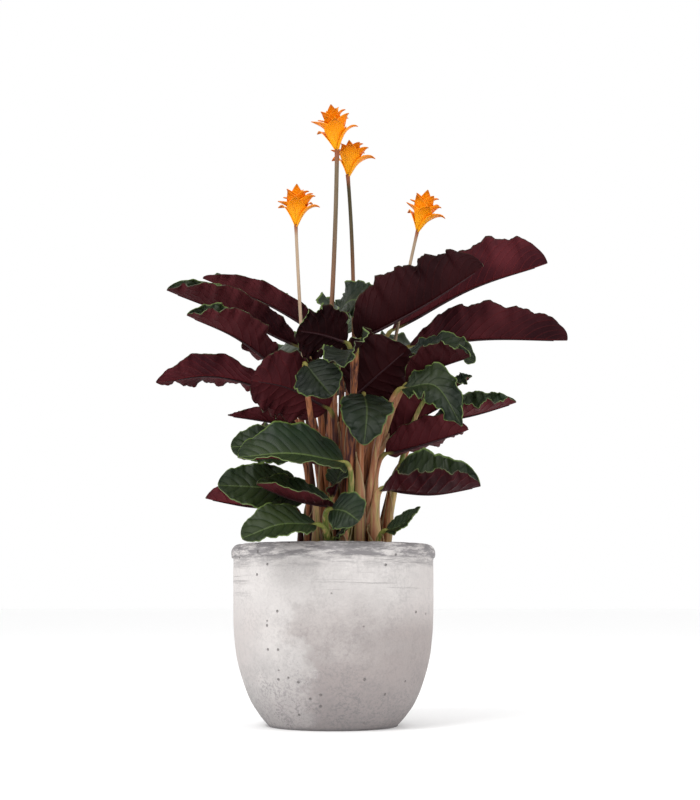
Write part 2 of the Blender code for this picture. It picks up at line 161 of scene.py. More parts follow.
# How light a leaf's colours are (0 to 1), where it isn't the usual. This is painted light and shade: leaves lit
# through by the light are lighter, and leaves in the shade in the middle of the clump darker.
LEAF_LIGHT_AND_SHADE = {
    "right_high_back": 0.85, "right_high_front": 0.16, "right_long": 0.5, "right_under": 0.2,
    "right_green_tip": 0.25, "right_low": 0.42, "left_flat": 0.85, "left_drooping": 0.4,
    "left_high_front": 0.35, "left_broad": 0.45, "centre_dark": 0.1, "centre_wine": 0.1,
    "centre_shade": 0.15, "centre_tongue": 0.1, "centre_point": 0.25, "centre_glossy": 0.35,
    "front_large": 0.5, "front_low": 0.48, "front_round": 0.45, "left_glossy": 0.4,
    "right_spoon": 0.5, "right_tricolour": 0.6, "right_ruffled": 0.35, "left_wine": 0.75,
}
USUAL_LEAF_LIGHT = 0.5

# Where a leaf's stem lies from wine through orange brown, pink and beige to olive (0 to 1). The rest get
# theirs from the letters of their names.
# The wine tones of the stems in the middle and at the back of the clump are partly painted shade: those stems
# are given darker colours because they get less light.
STEM_TONES = {
    "right_rising": 0.34, "right_low": 0.66, "right_under": 0.55, "front_large": 0.92,
    "right_ruffled": 0.45, "centre_point": 0.4, "right_tricolour": 0.3, "front_round": 0.98,
    "left_glossy": 0.7, "left_broad": 0.1, "right_spoon": 0.5, "centre_wine": 0.05,
    "front_folded": 0.6, "front_upright": 0.85, "left_drooping": 0.15, "left_flat": 0.3,
    "right_sprout": 1.0, "front_sprig": 1.0, "centre_dark": 0.05, "centre_tongue": 0.1,
    "centre_shade": 0.15, "centre_glossy": 0.25, "right_high_front": 0.12, "right_high_back": 0.3,
    "right_long": 0.35, "back_high": 0.1, "back_right": 0.2, "back_left": 0.15,
    "back_inner": 0.05, "back_low_right": 0.3, "back_low_left": 0.25, "back_low": 0.35,
}

# Each flower: name, root (x and y on the soil, mm), then where its stalk leaves the clump, the foot and the
# crown of its head, each as (pixel x, pixel y, depth in mm), the head's widest radius and the stalk's radius
# (mm), and how dark the stalk is (0 to 1).
FLOWERS = (
    ("left", (-12, -14), (300, 326, -16), (296, 228, -12), (297, 184, -12), 17.0, 1.35, 0.1),
    ("tall", (-18, 8), (335, 300, 26), (337, 153, 8), (331, 105, 4), 19.0, 1.85, 0.72),
    ("middle", (12, 14), (358, 296, 32), (348, 178, 24), (352, 140, 26), 18.0, 1.6, 1.0),
    ("right", (23, 1), (391, 344, 7), (417, 233, 22), (428, 191, 22), 17.0, 1.35, 0.3),
)

# Blades: the faces of a blade's sheet, the fewest side veins, how the veins curve and sweep forward to the
# margin, how many fine veins lie between two of them, the depth of the groove over the midrib (mm), the
# height of the veins in the surface (metres), and each leaf's painted light and shade: the lightness of
# the darkest, most shaded tone and what tone 1 adds to it.
BLADE_COLUMNS = 92
BLADE_ROWS = 30
FEWEST_RIBS = 7.0
VEIN_CURVE = 1.3
VEIN_SWEEP = 0.27
FINE_VEINS = 7.0
GROOVE_DEPTH = 0.7
VEIN_BUMP = 0.0006
DARKEST_PAINTED_LEAF_SHADE = 0.12
PAINTED_LEAF_LIGHT_RANGE = 1.5

# Stems: how deep a root goes into the soil and a stem's radius at its knee (mm), its rings below and above
# the knee, how far the midrib goes along the blade, and the shortest rise that has a papery sheath and how
# thick that is (mm).
ROOT_DEPTH = 1.0
NECK_RADIUS = 1.5
STEM_STEPS = 18
MIDRIB_STEPS = 16
MIDRIB_REACH = 0.92
SHORTEST_SHEATHED_STEM = 45.0
SHEATH_THICKNESS = 0.45

# Flowers: a stalk's rings and how far it goes into its head (mm), and a bract's steps, veins, thickness (mm)
# and turn from the one before it.
STALK_STEPS = 40
STALK_OVERLAP = 3.0
BRACT_STEPS = 16
BRACT_VEINS = 9
BRACT_THICKNESS = 0.5
BRACT_TURN = math.radians(137.5)


# Placing points


def spot(px, py, depth):
    """The place, in mm, that the front view shows at this pixel, this far behind the pot's axis."""
    right = Vector((1.0, 0.0, 0.0))
    ahead = Vector((0.0, math.cos(EYE_TILT), math.sin(EYE_TILT)))
    up = Vector((0.0, -math.sin(EYE_TILT), math.cos(EYE_TILT)))
    ray = ahead + right * (px - CENTRE_PX[0]) / FOCAL_PX - up * (py - CENTRE_PX[1]) / FOCAL_PX
    return EYE + ray * (depth - EYE.y) / ray.y


def along(points, t):
    """A point on the smooth curve through the given points, with t from 0 to 1."""
    last = len(points) - 1
    step = min(int(t * last), last - 1)
    s = t * last - step
    a = points[step - 1] if step > 0 else points[0] * 2 - points[1]
    b, c = points[step], points[step + 1]
    d = points[step + 2] if step + 2 <= last else points[last] * 2 - points[last - 1]
    curve = b * 2 + (c - a) * s + (a * 2 - b * 5 + c * 4 - d) * s * s
    return (curve + (b * 3 - a - c * 3 + d) * s * s * s) / 2


def heading(points, t):
    """The direction of the same curve at t."""
    low, high = max(t - 0.01, 0.0), min(t + 0.01, 1.0)
    return (along(points, high) - along(points, low)).normalized()


def bezier(path, t):
    """A point on the cubic curve with these four control points."""
    a, b, c, d = path
    u = 1.0 - t
    return a * u ** 3 + b * 3 * u * u * t + c * 3 * u * t * t + d * t ** 3


def steps(count):
    """Numbers from 0 to 1, closer together near both ends."""
    return [0.5 - 0.5 * math.cos(math.pi * i / (count - 1)) for i in range(count)]


# Building meshes


def keep(bm, name, materials, smooth=True):
    """Turns a bmesh in mm into a linked object in metres."""
    bmesh.ops.scale(bm, vec=(MM, MM, MM), verts=bm.verts[:])
    mesh = bpy.data.meshes.new(name)
    bm.to_mesh(mesh)
    bm.free()
    for material in materials:
        mesh.materials.append(material)
    if smooth:
        mesh.shade_smooth()
    made = bpy.data.objects.new(name, mesh)
    bpy.context.scene.collection.objects.link(made)
    return made


def thicken(piece, thickness, underside=0, rim=0):
    """A wall below the surface, with material slots of its own on its underside and its rim."""
    wall = piece.modifiers.new("wall", "SOLIDIFY")
    wall.thickness = thickness * MM
    wall.offset = -1.0
    wall.use_even_offset = False
    wall.material_offset = underside
    wall.material_offset_rim = rim
    return wall


def sheet(bm, columns, rows, place, marks=None):
    """A grid moved by place(u, v), with u, v from 0 to 1 as its UV map and marks as values on its points."""
    uv = bm.loops.layers.uv.get("UVMap") or bm.loops.layers.uv.new("UVMap")
    layers = {name: bm.verts.layers.float.new(name) for name in marks or ()}
    us = steps(columns + 1)
    made = bmesh.ops.create_grid(bm, x_segments=columns, y_segments=rows, size=1.0)["verts"]
    where = {}
    for vert in made:
        u = us[min(max(round((vert.co.x + 1) / 2 * columns), 0), columns)]
        where[vert] = (u, (vert.co.y + 1) / 2)
    for vert, (u, v) in where.items():
        vert.co = place(u, v)
    for face in {f for vert in made for f in vert.link_faces}:
        for loop in face.loops:
            loop[uv].uv = where[loop.vert]
    for vert, (u, v) in where.items():
        for name, layer in layers.items():
            value = marks[name]
            vert[layer] = value(u, v) if callable(value) else value
    return made


def tube(bm, centres, radii, around, marks):
    """A round skin along the centres, closed at both ends; marks holds each layer's value for each ring."""
    layers = {name: bm.verts.layers.float.new(name) for name in marks}
    side = Vector((1.0, 0.0, 0.0))
    ring, first = None, None
    for i, centre in enumerate(centres):
        before, after = centres[max(i - 1, 0)], centres[min(i + 1, len(centres) - 1)]
        way = (after - before).normalized()
        side = (side - way * side.dot(way)).normalized()
        over = way.cross(side)
        points = []
        for k in range(around):
            turn = 2 * math.pi * k / around
            points.append(centre + (side * math.cos(turn) + over * math.sin(turn)) * radii[i])
        if ring is None:
            ring = bmesh.ops.create_circle(bm, segments=around, radius=1.0, cap_ends=False)["verts"]
            first = ring
            for vert, point in zip(ring, points):
                vert.co = point
        else:
            ring = grow(bm, ring, points)
        for vert in ring:
            for name, layer in layers.items():
                vert[layer] = marks[name][i]
    bmesh.ops.contextual_create(bm, geom=first)
    bmesh.ops.contextual_create(bm, geom=ring)


def grow(bm, ring, points):
    """Extrudes an open ring of vertices to the next ring's points and returns the new ring."""
    edges = [bm.edges.get((ring[i], ring[i - 1])) for i in range(len(ring))]
    made = bmesh.ops.extrude_edge_only(bm, edges=edges)["geom"]
    fresh = {v for v in made if isinstance(v, bmesh.types.BMVert)}
    moved = []
    for old, point in zip(ring, points, strict=True):
        new = next(e.other_vert(old) for e in old.link_edges if e.other_vert(old) in fresh)
        new.co = point
        moved.append(new)
    return moved


# Building materials


def finish(name, roughness, specular=None):
    material = bpy.data.materials.new(name)
    material.use_nodes = True
    shader = material.node_tree.nodes["Principled BSDF"]
    shader.inputs["Roughness"].default_value = roughness
    if specular is not None:
        shader.inputs["Specular IOR Level"].default_value = specular
    return material, material.node_tree, shader


def join(tree, value, socket):
    """Links another node's output to a socket, or sets the socket to a number or a colour."""
    if isinstance(value, bpy.types.NodeSocket):
        tree.links.new(value, socket)
    elif hasattr(value, "__len__"):
        socket.default_value = (*value, 1.0)
    else:
        socket.default_value = value


def maths(tree, operation, *values, clamp=False):
    made = tree.nodes.new("ShaderNodeMath")
    made.operation = operation
    made.use_clamp = clamp
    for socket, value in zip(made.inputs, values):
        join(tree, value, socket)
    return made.outputs[0]


def times(tree, a, b):
    return maths(tree, "MULTIPLY", a, b)


def plus(tree, a, b):
    return maths(tree, "ADD", a, b)


def flipped(tree, value):
    """1 where the value is 0, and 0 where it is 1."""
    return maths(tree, "SUBTRACT", 1.0, value)


def wandering(tree, value, noise_value, spread, clamp=False):
    """The value, shifted both ways by noise, over the given spread in all."""
    shift = maths(tree, "MULTIPLY_ADD", noise_value, spread, -spread / 2)
    return maths(tree, "ADD", value, shift, clamp=clamp)


def between(tree, value, low, high):
    """0 below low, 1 above high, smooth in between."""
    made = tree.nodes.new("ShaderNodeMapRange")
    made.interpolation_type = "SMOOTHSTEP"
    tree.links.new(value, made.inputs["Value"])
    made.inputs["From Min"].default_value = low
    made.inputs["From Max"].default_value = high
    return made.outputs["Result"]


def blended(tree, factor, a, b):
    made = tree.nodes.new("ShaderNodeMix")
    made.data_type = "RGBA"
    for number, value in ((0, factor), (6, a), (7, b)):
        join(tree, value, made.inputs[number])
    return made.outputs[2]


def tinted(tree, colour, mask, share, other):
    """The colour, mixed with another one up to this share where the mask is 1."""
    return blended(tree, times(tree, mask, share), colour, other)


def grain(tree, scale, detail=4.0, stretch=(1.0, 1.0, 1.0), roughness=0.5):
    """Noise on Object coordinates."""
    place = tree.nodes.new("ShaderNodeTexCoord")
    mapping = tree.nodes.new("ShaderNodeMapping")
    mapping.inputs["Scale"].default_value = stretch
    made = tree.nodes.new("ShaderNodeTexNoise")
    made.inputs["Scale"].default_value = scale
    made.inputs["Detail"].default_value = detail
    made.inputs["Roughness"].default_value = roughness
    tree.links.new(place.outputs["Object"], mapping.inputs["Vector"])
    tree.links.new(mapping.outputs["Vector"], made.inputs["Vector"])
    return made.outputs["Fac"]


def mark(tree, layer):
    made = tree.nodes.new("ShaderNodeAttribute")
    made.attribute_name = layer
    return made.outputs["Fac"]


def bumped(tree, shader, height, distance):
    made = tree.nodes.new("ShaderNodeBump")
    made.inputs["Distance"].default_value = distance
    tree.links.new(height, made.inputs["Height"])
    tree.links.new(made.outputs["Normal"], shader.inputs["Normal"])


def sheet_axes(tree):
    """A piece's own UV map: along its length, and across it."""
    uv = tree.nodes.new("ShaderNodeUVMap")
    uv.uv_map = "UVMap"
    split = tree.nodes.new("ShaderNodeSeparateXYZ")
    tree.links.new(uv.outputs["UV"], split.inputs["Vector"])
    return split.outputs["X"], split.outputs["Y"]


def blade_pattern(tree):
    """Along the blade, distance from the midrib, the side veins and the fine veins between them."""
    t, across = sheet_axes(tree)
    out = maths(tree, "ABSOLUTE", maths(tree, "MULTIPLY_ADD", across, 2.0, -1.0))
    sweep = times(tree, maths(tree, "POWER", out, VEIN_CURVE), VEIN_SWEEP)
    place = maths(tree, "SUBTRACT", t, sweep)
    phase = times(tree, times(tree, place, mark(tree, "ribs")), math.pi)
    vein = flipped(tree, maths(tree, "ABSOLUTE", maths(tree, "SINE", phase)))
    fine = maths(tree, "ABSOLUTE", maths(tree, "SINE", times(tree, phase, FINE_VEINS)))
    return t, out, vein, fine


def painted_leaf_light(tree, colour):
    """The colour made lighter or darker by the leaf's tone, which paints light and shade over the whole leaf.
    """
    scaled = tree.nodes.new("ShaderNodeVectorMath")
    scaled.operation = "SCALE"
    tree.links.new(colour, scaled.inputs["Vector"])
    gain = maths(tree, "MULTIPLY_ADD", mark(tree, "tone"), PAINTED_LEAF_LIGHT_RANGE, DARKEST_PAINTED_LEAF_SHADE)
    tree.links.new(gain, scaled.inputs["Scale"])
    return scaled.outputs["Vector"]


def leaf_top_finish(look):
    """Dark glossy green, lighter along the midrib and between the veins, with a thin yellow-green margin."""
    material, tree, shader = finish("leaf_top", look.top_roughness, specular=0.2)
    t, out, vein, fine = blade_pattern(tree)
    blotch, patch = grain(tree, 38.0, 5.0), grain(tree, 11.0, 2.0)
    green = blended(tree, between(tree, blotch, 0.3, 0.7), look.top_dark, look.top_mid)
    green = tinted(tree, green, between(tree, patch, 0.42, 0.66), 0.75, look.top_light)
    green = tinted(tree, green, flipped(tree, between(tree, out, 0.0, 0.55)), 0.35, look.top_light)
    green = tinted(tree, green, between(tree, vein, 0.45, 1.0), 0.34, look.top_vein)
    green = tinted(tree, green, fine, 0.16, look.top_dark)
    green = tinted(tree, green, flipped(tree, between(tree, out, 0.012, 0.05)), 0.8, look.midrib_top)
    edge, end = between(tree, out, 0.93, 0.99), between(tree, t, 0.985, 0.999)
    # The leaf's tone paints light and shade over the green: lighter on leaves lit through, darker on leaves in
    # shade.
    green = blended(tree, maths(tree, "MAXIMUM", edge, end), painted_leaf_light(tree, green), look.margin)
    tree.links.new(green, shader.inputs["Base Color"])
    rough = tree.nodes.new("ShaderNodeMapRange")
    tree.links.new(blotch, rough.inputs["Value"])
    rough.inputs["To Min"].default_value = look.top_roughness - 0.08
    rough.inputs["To Max"].default_value = look.top_roughness + 0.12
    tree.links.new(rough.outputs["Result"], shader.inputs["Roughness"])
    sunk = times(tree, maths(tree, "POWER", vein, 2.0), 0.6)
    height = maths(tree, "SUBTRACT", times(tree, blotch, 0.5), sunk)
    bumped(tree, shader, plus(tree, height, times(tree, fine, 0.18)), VEIN_BUMP)
    return material


def leaf_underside_finish(look):
    """Wine red with a soft sheen, redder veins and darker blotches."""
    material, tree, shader = finish("leaf_underside", look.under_roughness, specular=0.06)
    _, out, vein, fine = blade_pattern(tree)
    blotch, patch = grain(tree, 30.0, 5.0), grain(tree, 9.0, 2.0)
    wine = blended(tree, between(tree, blotch, 0.3, 0.72), look.under_dark, look.under_mid)
    wine = tinted(tree, wine, between(tree, patch, 0.42, 0.62), 0.75, look.under_light)
    wine = tinted(tree, wine, between(tree, vein, 0.6, 1.0), 0.4, look.under_vein)
    wine = tinted(tree, wine, fine, 0.14, look.under_dark)
    wine = tinted(tree, wine, flipped(tree, between(tree, out, 0.02, 0.07)), 0.5, look.under_vein)
    # The leaf's tone paints light and shade over the wine red too.
    wine = tinted(tree, painted_leaf_light(tree, wine), between(tree, out, 0.955, 0.995), 0.8, look.under_margin)
    tree.links.new(wine, shader.inputs["Base Color"])
    height = plus(tree, times(tree, blotch, 0.4), maths(tree, "POWER", vein, 4.0))
    bumped(tree, shader, plus(tree, height, times(tree, fine, 0.15)), VEIN_BUMP)
    return material


def margin_finish(look):
    """The thin rim of a blade: yellow green, browned in places."""
    material, tree, shader = finish("leaf_margin", 0.5)
    worn = between(tree, grain(tree, 60.0, 3.0), 0.4, 0.65)
    tree.links.new(blended(tree, worn, look.margin, look.under_margin), shader.inputs["Base Color"])
    return material


def streaked(name, look):
    """Lengthwise streaks of wine, orange brown, pink, beige and olive, picked by the stem's tone."""
    material, tree, shader = finish(name, look.stem_roughness, specular=0.2)
    streak = grain(tree, 1.0, 4.0, (420.0, 420.0, 9.0))
    mixed = wandering(tree, mark(tree, "tone"), streak, 1.3)
    mixed = wandering(tree, mixed, grain(tree, 26.0, 3.0), 0.5, clamp=True)
    ramp = tree.nodes.new("ShaderNodeValToRGB")
    tree.links.new(mixed, ramp.inputs["Fac"])
    tones = (look.stem_wine, look.stem_orange, look.stem_pink, look.stem_beige, look.stem_olive)
    while len(ramp.color_ramp.elements) < len(tones):
        ramp.color_ramp.elements.new(0.5)
    for i, (element, colour) in enumerate(zip(ramp.color_ramp.elements, tones)):
        element.position = i / (len(tones) - 1)
        element.color = (*colour, 1.0)
    bumped(tree, shader, streak, 0.0008)
    return material, tree, shader, ramp.outputs["Color"]


def stem_finish(look):
    """A leaf's stem: its mark along runs 0 to 1 from the soil to the knee, and on to 2 under the blade."""
    material, tree, shader, colour = streaked("leaf_stem", look)
    height = mark(tree, "along")
    colour = tinted(tree, colour, between(tree, height, 0.8, 0.93), 0.8, look.knee)
    colour = blended(tree, between(tree, height, 1.0, 1.12), colour, look.under_dark)
    tree.links.new(colour, shader.inputs["Base Color"])
    return material


def sheath_finish(look):
    """The papery foot of a stem, paler at its fringe."""
    material, tree, shader, colour = streaked("leaf_sheath", look)
    colour = tinted(tree, colour, between(tree, mark(tree, "fringe"), 0.72, 0.98), 0.7, look.stem_pale)
    tree.links.new(colour, shader.inputs["Base Color"])
    return material


def stalk_finish(look):
    """Slender flower stalks: pinkish grey to olive brown, with fine streaks, and painted shade on their lower
    part among the leaves.
    """
    material, tree, shader = finish("stalk_skin", 0.55, specular=0.15)
    streak = grain(tree, 1.0, 4.0, (600.0, 600.0, 20.0))
    tone = wandering(tree, mark(tree, "tone"), streak, 0.5, clamp=True)
    colour = blended(tree, tone, look.stalk_pale, look.stalk_dark)
    height = mark(tree, "along")
    brown = times(tree, between(tree, height, 0.88, 0.66), mark(tree, "tone"))
    colour = blended(tree, brown, colour, look.stalk_brown)
    # Painted shade: the lower part of each stalk, among the leaves, is made dark.
    colour = blended(tree, between(tree, height, 0.56, 0.40), colour, look.stalk_leaf_shade)
    colour = blended(tree, between(tree, height, 0.955, 0.995), colour, look.stalk_neck)
    tree.links.new(colour, shader.inputs["Base Color"])
    bumped(tree, shader, streak, 0.0005)
    return material


def bract_finish(look):
    """Orange bracts, yellower at the foot and redder at the tip, finely veined and a little translucent."""
    material, tree, shader = finish("bract", 0.42, specular=0.15)
    length, across = sheet_axes(tree)
    height = wandering(tree, length, grain(tree, 60.0, 3.0), 0.16)
    colour = blended(tree, between(tree, height, 0.1, 0.62), look.bract_foot, look.bract_middle)
    colour = blended(tree, between(tree, height, 0.6, 1.05), colour, look.bract_tip)
    veins = maths(tree, "ABSOLUTE", maths(tree, "SINE", times(tree, across, BRACT_VEINS * math.pi)))
    colour = tinted(tree, colour, between(tree, veins, 0.25, 0.0), 0.25, look.bract_tip)
    flesh = blended(tree, between(tree, height, 0.1, 0.8), look.bract_foot, look.bract_middle)
    tree.links.new(blended(tree, 0.5, colour, flesh), shader.inputs["Base Color"])
    shader.inputs["Subsurface Weight"].default_value = 0.15
    shader.inputs["Subsurface Radius"].default_value = (0.004, 0.002, 0.0005)
    shader.inputs["Subsurface Scale"].default_value = 1.0
    bumped(tree, shader, veins, 0.0003)
    return material


def pinholes(tree, place):
    """1 in small round holes scattered over the surface."""
    cells = tree.nodes.new("ShaderNodeTexVoronoi")
    cells.inputs["Scale"].default_value = 120.0
    tree.links.new(place, cells.inputs["Vector"])
    pick = tree.nodes.new("ShaderNodeSeparateColor")
    tree.links.new(cells.outputs["Color"], pick.inputs["Color"])
    hole = flipped(tree, between(tree, cells.outputs["Distance"], 0.07, 0.16))
    return times(tree, hole, between(tree, pick.outputs["Red"], 0.80, 0.82))


def cast_clouds(tree, look, cloud, wash, fine, grit):
    """The body of the cast: grey and warm clouds, a pale bloom and darker grit."""
    colour = blended(tree, between(tree, cloud, 0.42, 0.66), look.pot_grey, look.pot_pale)
    colour = tinted(tree, colour, between(tree, wash, 0.38, 0.54), 0.85, look.pot_warm)
    colour = tinted(tree, colour, between(tree, fine, 0.42, 0.66), 0.22, look.pot_bloom_and_light)
    return tinted(tree, colour, between(tree, grit, 0.46, 0.60), 0.62, look.pot_grit)


def pot_finish(look):
    """Cast concrete: pale grey with warm clouds, a dark worn lip, pinholes, scratches and a darker foot, with
    painted shade low on the front and right, painted light on the left and painted contact shade round the
    foot.
    """
    material, tree, shader = finish("pot_concrete", 0.78)
    place = tree.nodes.new("ShaderNodeTexCoord")
    split = tree.nodes.new("ShaderNodeSeparateXYZ")
    tree.links.new(place.outputs["Object"], split.inputs["Vector"])
    x, z = split.outputs["X"], split.outputs["Z"]
    cloud, wash = grain(tree, 16.0, 9.0, (1.0, 1.0, 1.5), 0.72), grain(tree, 5.0, 3.0, (1.0, 1.0, 2.2))
    fine, grit = grain(tree, 420.0, 6.0, roughness=0.75), grain(tree, 95.0, 8.0, roughness=0.8)
    colour = cast_clouds(tree, look, cloud, wash, fine, grit)

    # Painted shade low on the front and the right, and painted light on the left, as if lit from the upper
    # left;
    # then darker towards the bottom and paler towards the top. Places and heights here are in metres.
    side = between(tree, wandering(tree, x, cloud, 0.12), -0.036, -0.012)
    below = between(tree, wandering(tree, z, wash, 0.08), 0.104, 0.078)
    # Painted shade on the lower front and right.
    colour = tinted(tree, colour, times(tree, side, below), 0.6, look.pot_right_shade)
    # Painted light on the left side.
    colour = tinted(tree, colour, flipped(tree, side), 0.5, look.pot_bloom_and_light)
    low = flipped(tree, between(tree, plus(tree, z, times(tree, cloud, 0.03)), 0.010, 0.085))
    colour = tinted(tree, colour, low, 0.45, look.pot_dark_and_foot_shade)
    high = between(tree, plus(tree, z, times(tree, wash, 0.03)), 0.085, 0.125)
    colour = tinted(tree, colour, high, 0.55, look.pot_bloom_and_light)

    # Specks, denser towards the foot, and a dark line round the foot, painted contact shade where the pot meets
    # the floor.
    patchy = between(tree, grain(tree, 40.0, 4.0, roughness=0.6), 0.40, 0.62)
    speck = times(tree, between(tree, fine, 0.48, 0.56), maths(tree, "MULTIPLY_ADD", low, 0.55, 0.17))
    speck = times(tree, speck, maths(tree, "MULTIPLY_ADD", patchy, 0.7, 0.5))
    colour = blended(tree, speck, colour, look.pot_dark_and_foot_shade)
    # Painted contact shade along the foot.
    colour = tinted(tree, colour, between(tree, z, 0.0032, 0.0008), 0.55, look.pot_dark_and_foot_shade)

    # Wear on the lip and just under it, fine turning scratches below, and pinholes.
    worn = grain(tree, 30.0, 9.0, (1.0, 1.0, 6.0), 0.78)
    brow = times(tree, between(tree, z, 0.124, 0.134), between(tree, worn, 0.42, 0.58))
    colour = tinted(tree, colour, brow, 0.6, look.pot_dark_and_foot_shade)
    lip = times(tree, between(tree, z, 0.1345, 0.137), between(tree, worn, 0.42, 0.56))
    colour = tinted(tree, colour, lip, 0.8, look.pot_dark_and_foot_shade)

    streak = between(tree, grain(tree, 1.0, 3.0, (7.0, 7.0, 620.0), 0.7), 0.58, 0.70)
    gate = times(tree, between(tree, grain(tree, 9.0, 1.0), 0.34, 0.50), between(tree, z, 0.098, 0.112))
    scratch = times(tree, streak, gate)
    colour = tinted(tree, colour, scratch, 0.4, look.pot_dark_and_foot_shade)
    hole = pinholes(tree, place.outputs["Object"])
    colour = tinted(tree, colour, hole, 0.75, look.pot_hole)
    tree.links.new(colour, shader.inputs["Base Color"])

    height = plus(tree, times(tree, grit, 0.8), times(tree, fine, 0.5))
    height = maths(tree, "SUBTRACT", height, times(tree, hole, 1.2))
    height = maths(tree, "SUBTRACT", height, times(tree, scratch, 0.35))
    bumped(tree, shader, height, 0.0009)
    return material


def soil_finish(look):
    """Peat: dark and light crumb, with pale fibres."""
    material, tree, shader = finish("potting_soil", 0.93)
    coarse, fine = grain(tree, 90.0, 6.0, roughness=0.7), grain(tree, 420.0, 4.0)
    colour = blended(tree, between(tree, coarse, 0.35, 0.65), look.soil_dark, look.soil_light)
    fibre = between(tree, grain(tree, 1.0, 3.0, (260.0, 40.0, 260.0)), 0.66, 0.74)
    tree.links.new(tinted(tree, colour, fibre, 0.6, look.soil_fibre), shader.inputs["Base Color"])
    bumped(tree, shader, plus(tree, coarse, times(tree, fine, 0.5)), 0.002)
    return material


def shared(name, build, look):
    """The material of this name, made on first use."""
    return bpy.data.materials.get(name) or build(look)


# Building the plant


class Leaf:
    """A leaf's place and shape, worked out from its row of the table."""

    def __init__(self, row):
        short, (x, y, self.root_radius), collar, middle, tip, self.half_width, *angles = row
        self.name = "leaf_" + short
        self.root = Vector((x, y, SOIL_TOP - ROOT_DEPTH))
        self.points = [spot(*p) for p in (collar, middle, tip)]
        self.near_side = 1.0 if heading(self.points, 0.5).cross(Vector((0.0, 0.0, 1.0))).y < 0 else -1.0
        self.faces, self.raises = angles[:2], angles[2:]
        self.belly, self.roundness, self.ripple, self.waves = LEAF_SHAPES.get(short, USUAL_SHAPE)
        self.letters = sum(ord(c) for c in self.name)
        # A leaf's tone is its painted light and shade.
        self.tone = LEAF_LIGHT_AND_SHADE.get(short, USUAL_LEAF_LIGHT)
        self.stem_tone = STEM_TONES.get(short, (self.letters * 0.137) % 1.0)

    def frame(self, t):
        """The unit vectors across the flat blade towards the viewer's side, and out of its top."""
        direction = heading(self.points, t)
        face = math.radians(self.faces[0] + (self.faces[1] - self.faces[0]) * t * t)
        level_top = (Vector((0.0, 0.0, 1.0)) - direction * direction.z).normalized()
        level_near = direction.cross(level_top) * self.near_side
        near = level_near * math.cos(face) - level_top * math.sin(face)
        top = level_top * math.cos(face) + level_near * math.sin(face)
        return near, top

    def width(self, t):
        """The width of each half of the blade, from 0 at the collar to a blunt tip."""
        swell = math.sin(math.pi * min(max(t, 0.0), 1.0) ** self.belly) ** self.roundness
        return self.half_width * (swell * (1.0 - 0.1 * t ** 8))


def blade(leaf, look, materials):
    """A leaf blade: waved along its margin, quilted between its side veins, with a groove over its midrib."""
    points, ripple = leaf.points, leaf.ripple * look.ripple
    length = sum((along(points, i / 12) - along(points, (i - 1) / 12)).length for i in range(1, 13))
    ribs = max(FEWEST_RIBS, round(length / look.rib_spacing_mm))
    seed = leaf.letters * 0.37

    def place(t, v):
        side = 2.0 * v - 1.0
        out = abs(side)
        hand = 1.0 if side > 0 else -1.0
        near, top = leaf.frame(t)
        across = near * hand
        uneven = 1.0 + 0.05 * math.sin(9.0 * t + seed + hand) + 0.03 * math.sin(23.0 * t + seed * 2 + hand)
        width = max(leaf.width(t) * uneven, 0.8)
        # Each half rises at once from the midrib, then curves up further towards its margin.
        lift = math.radians(leaf.raises[0] if side > 0 else leaf.raises[1]) * min(1.0, 0.35 + t * 3)
        mean, angle = lift * (0.62 + 0.38 * out), lift * (0.62 + 0.76 * out)
        normal = top * math.cos(angle) - across * math.sin(angle)
        point = along(points, t) + (across * math.cos(mean) + top * math.sin(mean)) * out * width
        # Waves, quilting and roughness die out at both ends of the blade.
        calm = min(1.0, 6 * t) * min(1.0, 7 * (1.0 - t))
        turn = 2 * math.pi * leaf.waves * t + seed + hand * 1.9
        wave = math.sin(turn) + 0.45 * math.sin(2.3 * turn + seed) + 0.22 * math.sin(5.1 * turn)
        point += normal * ripple * out ** 2.4 * wave * calm
        point += across * ripple * 0.35 * out ** 3 * math.sin(turn * 1.7 + 1.0) * calm
        rib = ribs * (t - VEIN_SWEEP * out ** VEIN_CURVE)
        pillow = abs(math.sin(math.pi * rib)) ** 0.6 - 0.6
        point += normal * look.quilt_mm * pillow * min(1.0, out * 4) * (1.0 - out ** 6) * calm
        point -= top * GROOVE_DEPTH * math.exp(-(out / 0.05) ** 2) * calm
        rough = noise.noise(point * 0.035 + Vector((seed, 0.0, 0.0)))
        return point + normal * rough * 2.0 * out * calm

    bm = bmesh.new()
    # The tone mark carries the leaf's painted light and shade to its finishes.
    sheet(bm, BLADE_COLUMNS, BLADE_ROWS, place, {"ribs": ribs, "tone": leaf.tone})
    if leaf.near_side > 0:
        bmesh.ops.reverse_faces(bm, faces=bm.faces[:])
    piece = keep(bm, leaf.name + "_blade", materials)
    thicken(piece, look.thickness_mm, underside=1, rim=2)
    return piece


def stem_path(leaf):
    """The curve of a leaf's stem: nearly upright from the soil, then along the blade's first heading."""
    collar, rise = leaf.points[0], leaf.points[0] - leaf.root
    upright = leaf.root + Vector((rise.x * 0.08, rise.y * 0.08, rise.z * 0.45))
    return [leaf.root, upright, collar - heading(leaf.points, 0.0) * min(15.0, rise.z * 0.4), collar]


